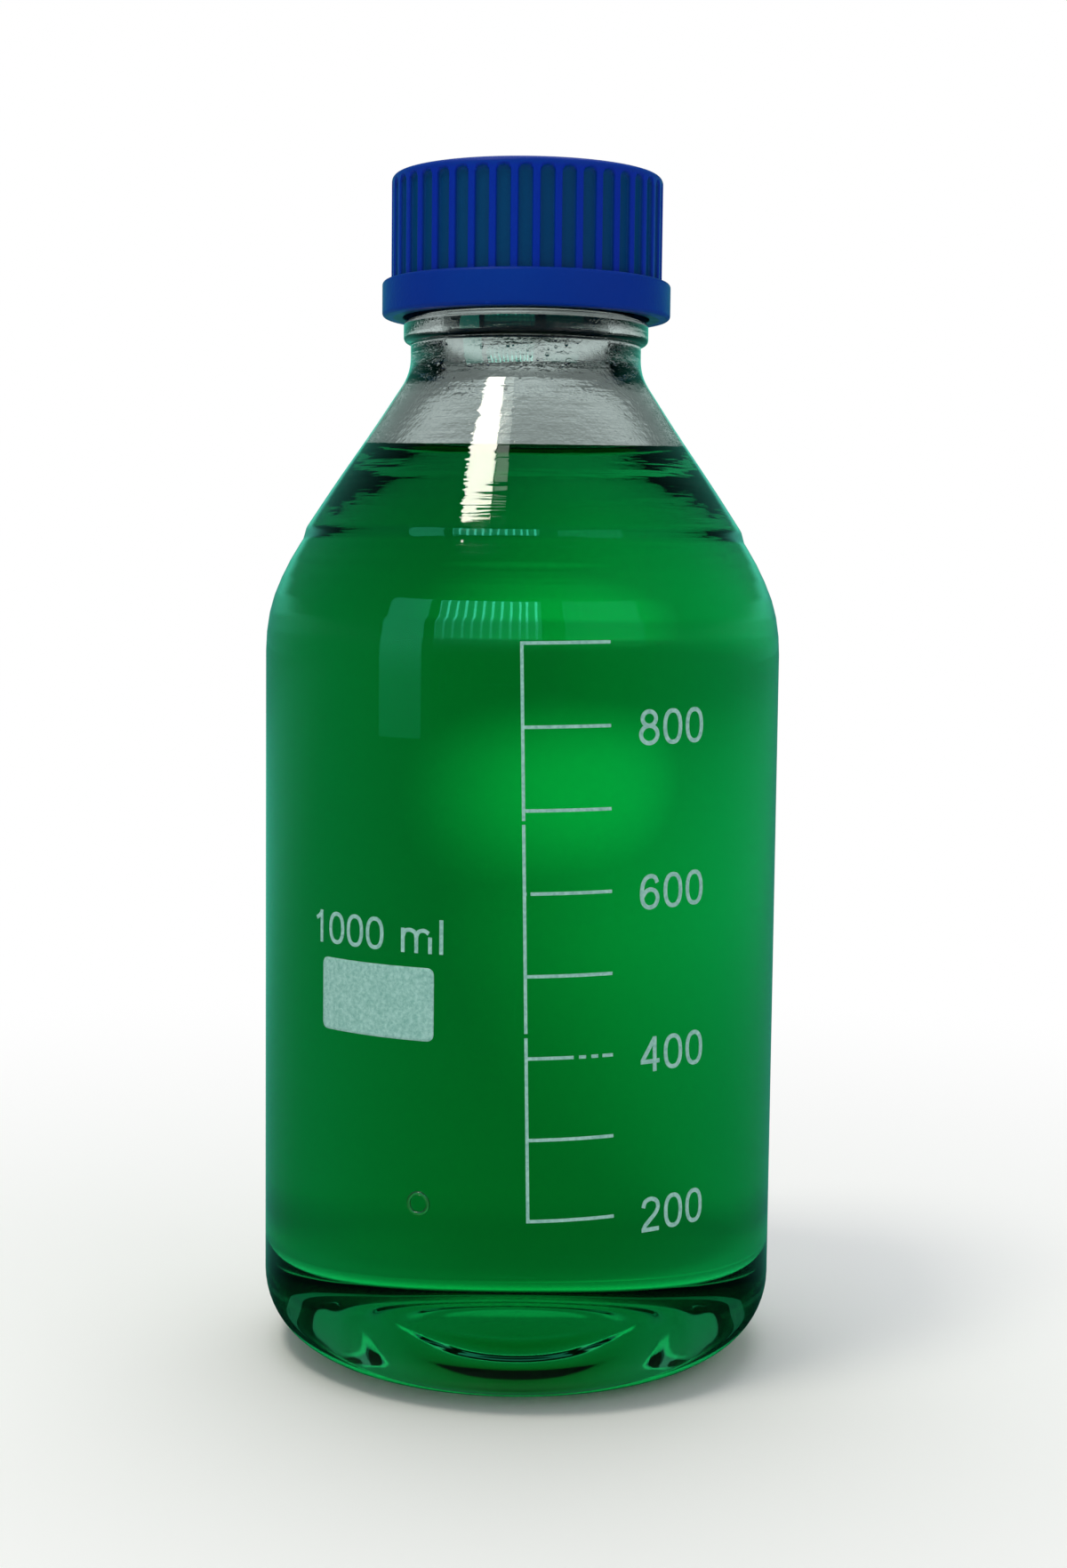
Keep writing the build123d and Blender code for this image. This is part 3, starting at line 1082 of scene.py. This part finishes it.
def smooth_curve(points, closed=False, steps=7):
    """Catmull-Rom points through the given ones."""
    count = len(points)
    curve = []
    for i in range(count if closed else count - 1):
        if closed:
            p = [points[(i + k) % count] for k in (-1, 0, 1, 2)]
        else:
            p = [points[max(0, min(count - 1, i + k))] for k in (-1, 0, 1, 2)]
        for step in range(steps):
            t = step / steps
            curve.append(
                tuple(
                    0.5
                    * (
                        2 * p[1][a]
                        + (p[2][a] - p[0][a]) * t
                        + (2 * p[0][a] - 5 * p[1][a] + 4 * p[2][a] - p[3][a]) * t * t
                        + (3 * p[1][a] - p[0][a] - 3 * p[2][a] + p[3][a]) * t**3
                    )
                    for a in (0, 1)
                )
            )
    if not closed:
        curve.append(points[-1])
    return curve


def loop(middle, half_width, half_height, squareness=2.0, count=36):
    """A closed oval; squareness over 2 fills out its corners."""
    points = []
    for step in range(count):
        a = tau * step / count
        x = abs(cos(a)) ** (2 / squareness) * (1 if cos(a) >= 0 else -1)
        y = abs(sin(a)) ** (2 / squareness) * (1 if sin(a) >= 0 else -1)
        points.append((middle[0] + half_width * x, middle[1] + half_height * y))
    return points


# %% Figures
figures = {
    "0": [(loop((0.325, 0.5), 0.262, 0.438, 2.35), True)],
    "8": [
        (loop((0.325, 0.742), 0.212, 0.198), True),
        (loop((0.325, 0.302), 0.262, 0.242), True),
    ],
    "6": [
        (
            smooth_curve(
                [
                    (0.565, 0.745),
                    (0.5, 0.885),
                    (0.35, 0.938),
                    (0.19, 0.865),
                    (0.098, 0.68),
                    (0.072, 0.45),
                    (0.098, 0.24),
                    (0.19, 0.105),
                    (0.335, 0.06),
                    (0.5, 0.125),
                    (0.578, 0.31),
                    (0.51, 0.495),
                    (0.345, 0.565),
                    (0.19, 0.5),
                    (0.09, 0.36),
                ]
            ),
            False,
        )
    ],
    "4": [
        (line((0.47, 0.0), (0.47, 0.99), 0.1), False),
        (line((0.47, 0.95), (0.06, 0.3), 0.1), False),
        (line((0.02, 0.292), (0.63, 0.292), 0.1), False),
    ],
    "2": [
        (
            smooth_curve(
                [
                    (0.085, 0.7),
                    (0.15, 0.87),
                    (0.33, 0.938),
                    (0.51, 0.87),
                    (0.57, 0.7),
                    (0.49, 0.52),
                    (0.3, 0.335),
                    (0.15, 0.19),
                    (0.095, 0.075),
                ]
            ),
            False,
        ),
        (line((0.03, 0.06), (0.6, 0.06), 0.1), False),
    ],
    "1": [
        (line((0.4, 0.0), (0.4, 1.0), 0.1), False),
        (smooth_curve([(0.39, 0.93), (0.3, 0.82), (0.16, 0.74)]), False),
    ],
    "m": [
        (line((0.06, 0.0), (0.06, 0.74), 0.1), False),
        (
            smooth_curve([(0.07, 0.5), (0.14, 0.66), (0.32, 0.69), (0.47, 0.61), (0.51, 0.45)]),
            False,
        ),
        (line((0.51, 0.46), (0.51, 0.0), 0.1), False),
        (smooth_curve([(0.51, 0.48), (0.58, 0.64), (0.76, 0.69), (0.91, 0.61)]), False),
        (line((0.955, 0.5), (0.955, 0.0), 0.1), False),
    ],
    "l": [(line((0.06, 0.0), (0.06, 1.04), 0.1), False)],
}


stroke_share = 0.12  # of a figure's height


def write(film, words, height, start, pitch, place):
    """Writes figures from a starting point; place lays a flat point on the print."""
    for index, figure in enumerate(words):
        for points, closed in figures[figure]:
            moved = [
                place(start[0] + index * pitch + x * height, start[1] + y * height)
                for x, y in points
            ]
            film.stroke(moved, stroke_share * height, closed)


def unleaned(across, up):
    """A point that stays where it is."""
    return (across, up)


numerals = Print("volume_numerals")
mark_figure = (6.5, 5.05)  # height and pitch
size_figure = (6.0, 4.55)
figures_across, figures_drop = 13.45, 3.85
for mark, words in ((0, "200"), (2, "400"), (4, "600"), (6, "800")):
    foot = mark_height(mark) - figures_drop
    write(numerals, words, mark_figure[0], (figures_across, foot), mark_figure[1], on_scale)
size_foot = 85.3
for words, across in (("1000", -42.6), ("m", -21.4), ("l", -13.9)):
    write(numerals, words, size_figure[0], (across, size_foot), size_figure[1], unleaned)
numerals.finish()

# %% [markdown]
# ## The writing patch
# A matt field of the same enamel takes pencil. It is a rounded rectangle, laid on the
# glass in a fine grid so that it follows the curve.

# %% Writing patch
patch_middle = (-27.3, 76.0)
patch_half = (12.42, 6.7)
patch_round = 1.3
patch_verts, patch_faces = [], []
columns, rows = 48, 26
for layer in (film_top, film_foot):
    for row in range(rows + 1):
        up = -1 + 2 * row / rows
        for column in range(columns + 1):
            across = -1 + 2 * column / columns
            x, y = across * patch_half[0], up * patch_half[1]
            over_x = abs(x) - (patch_half[0] - patch_round)
            over_y = abs(y) - (patch_half[1] - patch_round)
            if over_x > 0 and over_y > 0:
                out = max(over_x, over_y) / hypot(over_x, over_y)
                x -= (1 - out) * over_x * (1 if x > 0 else -1)
                y -= (1 - out) * over_y * (1 if y > 0 else -1)
            patch_verts.append(
                lay_on_glass(patch_middle[0] + x, patch_middle[1] + y, layer)
            )
across_count = columns + 1
under = across_count * (rows + 1)
for row in range(rows):
    for column in range(columns):
        a = row * across_count + column
        patch_faces.append((a, a + 1, a + 1 + across_count, a + across_count))
        b = a + under
        patch_faces.append((b, b + across_count, b + 1 + across_count, b + 1))
rim_loop = (
    [c for c in range(columns)]
    + [r * across_count + columns for r in range(rows)]
    + [rows * across_count + c for c in range(columns, 0, -1)]
    + [r * across_count for r in range(rows, 0, -1)]
)
for a, b in zip(rim_loop, rim_loop[1:] + rim_loop[:1]):
    patch_faces.append((b, a, a + under, b + under))
patch_mesh = bpy.data.meshes.new("pencil_patch")
patch_mesh.from_pydata(patch_verts, [], patch_faces)
patch = new_object("pencil_patch", patch_mesh, enamel)
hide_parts("writing_patch")
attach(patch, "bottle")
print("patch faces", len(patch_faces))

# %% [markdown]
# ## The stage
# The floor is a plain pale sheet that fades to white behind, and the world is white for the
# camera. Rays that came through the glass see a room behind the bottle, brightest in one
# window-like zone, and a half-lit one in front. Rays that a surface mirrors see that room
# darker and greener in front. That contrast is what shows glass and deep green as they
# are: with white all round, every front face would reflect it and turn grey.
#
# One thing about light paths matters here. A ray that glass bends counts as a glossy ray
# and as a transmission ray, and a mirrored one as glossy only. So the difference of the
# two is what tells a reflection.

# %% Helpers: a level from a place or a direction


def ramp(tree, source, low, high, below, above):
    """A smooth change from one level to another as a value passes from low to high."""
    node = add_node(
        tree,
        "ShaderNodeMapRange",
        interpolation_type="SMOOTHSTEP",
        From_Min=low,
        From_Max=high,
        To_Min=below,
        To_Max=above,
    )
    tree.links.new(source, node.inputs["Value"])
    return node.outputs["Result"]


def combine(tree, operation, first, second):
    """One Math node on two values, each a socket or a plain number."""
    node = add_node(tree, "ShaderNodeMath", operation=operation)
    for index, value in enumerate((first, second)):
        if isinstance(value, (int, float)):
            node.inputs[index].default_value = value
        else:
            tree.links.new(value, node.inputs[index])
    return node.outputs["Value"]


def combine_vectors(tree, operation, source, vector, output="Vector"):
    """One Vector Math node on a socket and a plain vector."""
    node = add_node(tree, "ShaderNodeVectorMath", operation=operation)
    tree.links.new(source, node.inputs[0])
    if vector is not None:
        node.inputs[1].default_value = vector
    return node.outputs[output]


# %% Helpers: what a ray through the glass or off it sees
room_through = (0.88, 1.0, 0.98, 1.0)
room_in_mirror = (0.12, 0.8, 0.6, 1.0)


def sharp_share(tree, path):
    """One for a ray that a surface bends or mirrors, zero for any other."""
    return combine(tree, "MAXIMUM", path["Is Glossy Ray"], path["Is Transmission Ray"])


def mirrored_share(tree, path):
    """One for a ray that a surface mirrors, zero for a ray that came through glass."""
    return combine(tree, "SUBTRACT", path["Is Glossy Ray"], path["Is Transmission Ray"])


def room_tint(tree, mirrored):
    """The room's colour: nearly white through glass, cool and green in a reflection."""
    node = add_node(tree, "ShaderNodeMix", data_type="RGBA")
    node.inputs["A"].default_value = room_through
    node.inputs["B"].default_value = room_in_mirror
    tree.links.new(mirrored, node.inputs["Factor"])
    return node.outputs["Result"]


def room_front(tree, mirrored, toward_back, through, mirror):
    """The level towards the front: half lit through glass, dark in a reflection."""
    node = add_node(tree, "ShaderNodeMix", data_type="FLOAT")
    tree.links.new(mirrored, node.inputs["Factor"])
    tree.links.new(ramp(tree, toward_back, -0.7, 0.5, through, 1.0), node.inputs["A"])
    tree.links.new(ramp(tree, toward_back, 0.0, 0.9, mirror, 1.0), node.inputs["B"])
    return node.outputs["Result"]


def mix_shaders(tree, share, first, second):
    """One Mix Shader node."""
    node = add_node(tree, "ShaderNodeMixShader")
    for index, socket in enumerate((share, first, second)):
        tree.links.new(socket, node.inputs[index])
    return node.outputs["Shader"]


# %% [markdown]
# The floor's level depends on the place that a ray meets. Behind the bottle it falls off
# to the right and far away, one zone stays bright like the foot of a window, and under
# the bottle it is half as bright. The floor itself keeps the shadow: the camera sees the
# lit paper near the bottle and plain white further off.

# %% Floor
floor_radius, floor_sides = 6, 96
nearest_back = 0.04
zone_side, zone_width = 0.11, 0.27
zone_stretch, zone_step = 2.1, 0.25
floor_mesh = bpy.data.meshes.new("studio_floor")
floor_mesh.from_pydata(
    [(floor_radius * cos(a), floor_radius * sin(a), 0.0) for a in even_turns(floor_sides)],
    [],
    [tuple(range(floor_sides))],
)
floor_paper, floor_tree, floor_shader = shader_material("floor_paper", (0.9, 0.9, 0.9), 0.9)
floor_path = add_node(floor_tree, "ShaderNodeLightPath").outputs
floor_place = add_node(floor_tree, "ShaderNodeTexCoord").outputs["Object"]
floor_axes = add_node(floor_tree, "ShaderNodeSeparateXYZ")
floor_tree.links.new(floor_place, floor_axes.inputs["Vector"])
floor_reach = combine_vectors(floor_tree, "LENGTH", floor_place, None, "Value")
floor_back = combine(floor_tree, "MAXIMUM", floor_axes.outputs["Y"], nearest_back)
floor_side = combine(floor_tree, "DIVIDE", floor_axes.outputs["X"], floor_back)
floor_cosine = combine(floor_tree, "DIVIDE", floor_axes.outputs["Y"], floor_reach)
print("floor corners", floor_sides)

# %% Levels behind the bottle
floor_behind = combine(
    floor_tree,
    "MULTIPLY",
    ramp(floor_tree, floor_side, -0.16, 0.14, 0.64, 0.32),
    ramp(floor_tree, floor_back, 0.6, 2.5, 1.0, 0.62),
)
floor_behind = combine(
    floor_tree, "MULTIPLY", floor_behind, ramp(floor_tree, floor_back, 0.1, 0.6, 0.66, 1.0)
)
zone_across = combine(floor_tree, "ADD", floor_side, zone_side)
zone_across = combine(floor_tree, "DIVIDE", zone_across, zone_width)
zone_along = combine(floor_tree, "LOGARITHM", floor_back, zone_stretch)
zone_along = combine(floor_tree, "SUBTRACT", zone_along, zone_step)
zone_square = combine(
    floor_tree,
    "ADD",
    combine(floor_tree, "MULTIPLY", zone_across, zone_across),
    combine(floor_tree, "MULTIPLY", zone_along, zone_along),
)
zone_reach = combine(floor_tree, "SQRT", zone_square, 0.0)
floor_behind = combine(
    floor_tree, "MAXIMUM", floor_behind, ramp(floor_tree, zone_reach, 0.1, 1.1, 0.95, 0.34)
)

# %% Levels round and under the bottle
floor_mirrored = mirrored_share(floor_tree, floor_path)
floor_front = room_front(floor_tree, floor_mirrored, floor_cosine, 0.5, 0.1)
floor_level = combine(floor_tree, "MULTIPLY", floor_behind, floor_front)
floor_level = combine(
    floor_tree, "MULTIPLY", floor_level, ramp(floor_tree, floor_reach, 0.036, 0.13, 0.5, 1.0)
)
floor_seen = combine(
    floor_tree,
    "MULTIPLY",
    sharp_share(floor_tree, floor_path),
    ramp(floor_tree, floor_reach, 0.02, 0.04, 0.7, 1.0),
)
floor_shown = combine(
    floor_tree,
    "MULTIPLY",
    floor_path["Is Camera Ray"],
    ramp(floor_tree, floor_reach, 0.08, 0.4, 0.0, 1.0),
)
floor_room = add_node(floor_tree, "ShaderNodeEmission")
floor_tree.links.new(room_tint(floor_tree, floor_mirrored), floor_room.inputs["Color"])
floor_tree.links.new(floor_level, floor_room.inputs["Strength"])
floor_white = add_node(floor_tree, "ShaderNodeEmission", Color=(1.0, 1.0, 1.0, 1.0), Strength=1.0)
floor_look = mix_shaders(
    floor_tree, floor_seen, floor_shader.outputs["BSDF"], floor_room.outputs["Emission"]
)
floor_look = mix_shaders(floor_tree, floor_shown, floor_look, floor_white.outputs["Emission"])
floor_tree.links.new(floor_look, floor_tree.nodes["Material Output"].inputs["Surface"])
studio_floor = new_object("studio_floor", floor_mesh, floor_paper)
print("floor nodes", len(floor_tree.nodes))

# %% [markdown]
# The world's level depends on the direction alone. It is brightest a little over the
# horizon behind the bottle, where the headspace looks, and dim higher up, where the base
# looks by way of its own inner reflection.

# %% World
world = bpy.data.worlds.new("studio")
world.use_nodes = True
bpy.context.scene.world = world
world_tree = world.node_tree
soft = world_tree.nodes["Background"]
soft.inputs["Color"].default_value = (0.95, 0.97, 1.0, 1.0)
soft.inputs["Strength"].default_value = 0.5
white = add_node(world_tree, "ShaderNodeBackground", Color=(1.0, 1.0, 1.0, 1.0), Strength=1.0)
room = add_node(world_tree, "ShaderNodeBackground")
world_path = add_node(world_tree, "ShaderNodeLightPath").outputs
world_mirrored = mirrored_share(world_tree, world_path)
world_tree.links.new(room_tint(world_tree, world_mirrored), room.inputs["Color"])
way = add_node(world_tree, "ShaderNodeTexCoord").outputs["Generated"]
way_axes = add_node(world_tree, "ShaderNodeSeparateXYZ")
world_tree.links.new(way, way_axes.inputs["Vector"])
room_level = combine(
    world_tree,
    "MULTIPLY",
    room_front(world_tree, world_mirrored, way_axes.outputs["Y"], 0.6, 0.08),
    ramp(world_tree, way_axes.outputs["Z"], 0.0, 0.2, 0.46, 1.25),
)
room_level = combine(
    world_tree,
    "MULTIPLY",
    room_level,
    ramp(world_tree, way_axes.outputs["Z"], 0.13, 0.25, 1.0, 0.25),
)
world_tree.links.new(room_level, room.inputs["Strength"])
world_look = mix_shaders(
    world_tree,
    sharp_share(world_tree, world_path),
    soft.outputs["Background"],
    room.outputs["Background"],
)
world_look = mix_shaders(
    world_tree, world_path["Is Camera Ray"], world_look, white.outputs["Background"]
)
world_tree.links.new(world_look, world_tree.nodes["World Output"].inputs["Surface"])
print("world nodes", len(world_tree.nodes))

# %% [markdown]
# A small bright lamp to the upper left makes the one hard streak on the cone, with a
# fainter one beside it for the streak's soft edge. A large fill lamp and a large lamp
# overhead light the plastic and the enamel. The fill doesn't mirror in the glass, and the
# one overhead isn't seen through it.

# %% Lamps
streak_place, streak_size, streak_power = (-0.46, -0.37, 1.55), (0.29, 0.35), 7.5
edge_place, edge_size, edge_power = (-0.235, -0.4, 1.55), (0.13, 0.29), 0.32


def soft_lamp(name, place, aim, size, power):
    """A rectangular softbox at a place, turned to a point."""
    data = bpy.data.lights.new(name, "AREA")
    data.shape, data.size, data.size_y, data.energy = "RECTANGLE", size[0], size[1], power
    lamp = bpy.data.objects.new(name, data)
    lamp.location = place
    lamp.rotation_mode = "QUATERNION"
    lamp.rotation_quaternion = (Vector(aim) - Vector(place)).to_track_quat("-Z", "Y")
    bpy.context.scene.collection.objects.link(lamp)
    return lamp


def straight_down(place):
    """The point of the floor under a place."""
    return (place[0], place[1], 0.0)


window_lamp = soft_lamp(
    "window_lamp", streak_place, straight_down(streak_place), streak_size, streak_power
)
window_lamp.data.color = (1.0, 0.97, 0.84)
window_edge = soft_lamp(
    "window_edge", edge_place, straight_down(edge_place), edge_size, edge_power
)
window_edge.data.color = (0.9, 1.0, 0.9)
fill_lamp = soft_lamp("fill_lamp", (1.3, -0.9, 1.0), (0, 0, 0.12), (1.6, 1.6), 4.0)
fill_lamp.visible_glossy = False
top_lamp = soft_lamp("top_lamp", (0.0, 0.5, 1.6), (0, 0, 0.1), (1.2, 1.2), 10.0)
top_lamp.visible_transmission = False

# %% [markdown]
# A room's window has blinds. Each pane here is a sheet that glows, brighter at its top and
# striped by its slats, and only what reflects sees it: neither the camera nor the glass
# seen through shows a pane. An area lamp would mirror too, but with one even level.

# %% Window panes
pane_top, pane_foot, pane_distance = 1.08, 0.02, 1.5
pane_steps = 12
pane_colour = (0.1, 1.0, 0.74, 1.0)
slat_turn = radians(4.2)


def window_pane(name, first_angle, last_angle, fade_from, level, slats):
    """A glowing curved sheet between two angles from the front, with soft vertical slats."""
    verts, faces = [], []
    for step in range(pane_steps + 1):
        angle = radians(first_angle + (last_angle - first_angle) * step / pane_steps)
        side, front = pane_distance * sin(angle), -pane_distance * cos(angle)
        verts += [(side, front, pane_foot), (side, front, pane_top)]
    for low in range(0, 2 * pane_steps, 2):
        faces.append((low, low + 1, low + 3, low + 2))
    mesh = bpy.data.meshes.new(name)
    mesh.from_pydata(verts, [], faces)
    material = bpy.data.materials.new(name)
    material.use_nodes = True
    tree = material.node_tree
    glow = add_node(tree, "ShaderNodeEmission", Color=pane_colour)
    place = add_node(tree, "ShaderNodeTexCoord").outputs["Object"]
    axes = add_node(tree, "ShaderNodeSeparateXYZ")
    tree.links.new(place, axes.inputs["Vector"])
    fade = ramp(tree, axes.outputs["Z"], fade_from - 0.45, fade_from + 0.1, 0.0, 1.0)
    turned = combine(tree, "ARCTAN2", axes.outputs["X"], axes.outputs["Y"])
    wave = combine(tree, "SINE", combine(tree, "MULTIPLY", turned, tau / slat_turn), 0.0)
    stripe = ramp(tree, wave, 0.4, 0.95, 1.0, 1.0 + slats)
    striped = ramp(tree, axes.outputs["Z"], 0.3, 0.95, 0.0, 1.0)
    blend = add_node(tree, "ShaderNodeMix", data_type="FLOAT")
    blend.inputs["A"].default_value = 1.0
    tree.links.new(striped, blend.inputs["Factor"])
    tree.links.new(stripe, blend.inputs["B"])
    strength = combine(tree, "MULTIPLY", fade, blend.outputs["Result"])
    strength = combine(tree, "MULTIPLY", strength, level)
    tree.links.new(strength, glow.inputs["Strength"])
    tree.links.new(glow.outputs["Emission"], tree.nodes["Material Output"].inputs["Surface"])
    pane = new_object(name, mesh, material)
    pane.visible_camera = False
    pane.visible_transmission = False
    pane.visible_diffuse = False
    return pane


panes = [
    window_pane("left_pane", -63.0, -43.0, 0.25, 1.6, 0.1),
    window_pane("middle_pane", -38.0, 9.0, 0.6, 1.4, 5.0),
    window_pane("right_pane", 19.0, 55.0, 0.6, 0.7, 0.3),
]
print("panes", [pane.name for pane in panes])

# %% [markdown]
# ## The camera
# The camera stands half a metre in front, a little above the middle of the bottle, and
# looks slightly down. It is rolled by under a degree.

# %% Camera
focal_share = 2662.4 / 1764  # of the picture's long side
turn, tilt, roll = 0.0084, 0.0904, 0.0111
camera_place = (0.006369, -0.4691, 0.15439)
camera_data = bpy.data.cameras.new("camera")
camera_data.sensor_width = 36.0
camera_data.lens = focal_share * camera_data.sensor_width
camera_data.clip_start = 0.01
camera = bpy.data.objects.new("camera", camera_data)
bpy.context.scene.collection.objects.link(camera)
bpy.context.scene.camera = camera
facing = Vector((-sin(turn), cos(turn), 0.0))
right = Vector((cos(turn), sin(turn), 0.0))
look = facing * cos(tilt) - Vector((0, 0, 1)) * sin(tilt)
lift = facing * sin(tilt) + Vector((0, 0, 1)) * cos(tilt)
right_rolled = right * cos(roll) + lift * sin(roll)
lift_rolled = lift * cos(roll) - right * sin(roll)
camera.matrix_world = Matrix.Translation(camera_place) @ Matrix(
    (right_rolled, lift_rolled, -look)
).transposed().to_4x4()
bpy.context.scene.view_settings.view_transform = "Standard"
